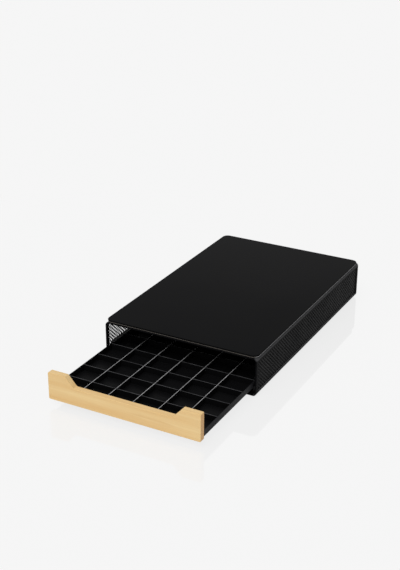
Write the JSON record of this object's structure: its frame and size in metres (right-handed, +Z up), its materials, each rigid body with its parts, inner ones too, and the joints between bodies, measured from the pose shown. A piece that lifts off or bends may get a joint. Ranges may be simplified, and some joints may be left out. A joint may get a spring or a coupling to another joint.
{
  "type": "coffee pod drawer",
  "caption": "Low steel housing with mesh sides and a black glass top, and one shallow drawer with a bamboo front and open cells that slides out to hand over coffee capsules.",
  "frame": {"origin": "on the table, under the middle of the whole object with the drawer as far out as in the picture, level with the undersides of the feet; the housing's own middle is 95 mm behind it", "axes": "+X to the right across the front, -Y out of the front along the drawer's travel, +Z up"},
  "size_m": [0.306, 0.67, 0.08],
  "materials": {
    "black_powder_coat": "satin black powder coat on steel sheet",
    "mesh_black": "satin black coat on punched steel mesh",
    "black_glass": "polished toughened glass, black backed",
    "silicone": "matte silicone",
    "rubber_black": "matte rubber",
    "fastener_steel": "zinc-plated steel",
    "runner_black": "satin dark coat on folded steel",
    "nylon_dark": "matte moulded nylon",
    "bamboo": "satin lacquered laminated bamboo",
    "divider_grey": "satin dark grey coat on steel sheet",
    "tray_grey": "satin dark grey coat on steel sheet"
  },
  "bodies": {
    "housing": {"housing_sleeve": "black_powder_coat", "side_mesh_left": "mesh_black", "side_mesh_right": "mesh_black", "back_panel": "black_powder_coat", "glass_top": "black_glass", "glass_pads": "silicone", "foot_front_left": "rubber_black", "foot_front_right": "rubber_black", "foot_rear_left": "rubber_black", "foot_rear_right": "rubber_black", "runner_left": "runner_black", "runner_right": "runner_black", "glide_strip_left": "nylon_dark", "glide_strip_right": "nylon_dark", "stop_block_left": "nylon_dark", "stop_block_right": "nylon_dark", "closing_bumpers": "rubber_black"},
    "drawer": {"drawer_tray": "tray_grey", "long_divider_1": "divider_grey", "long_divider_2": "divider_grey", "long_divider_3": "divider_grey", "long_divider_4": "divider_grey", "long_divider_5": "divider_grey", "cross_divider_1": "divider_grey", "cross_divider_2": "divider_grey", "cross_divider_3": "divider_grey", "cross_divider_4": "divider_grey", "cross_divider_5": "divider_grey", "cross_divider_6": "divider_grey", "cross_divider_7": "divider_grey", "cross_divider_8": "divider_grey", "cross_divider_9": "divider_grey", "stop_lug_left": "tray_grey", "stop_lug_right": "tray_grey", "bamboo_front": "bamboo", "front_screws": "fastener_steel"}
  },
  "joints": [
    {"name": "drawer_slide", "type": "slide", "parent": "housing", "child": "drawer", "axis": [0, -1, 0], "range_m": [-0.19, 0.15]}
  ]
}
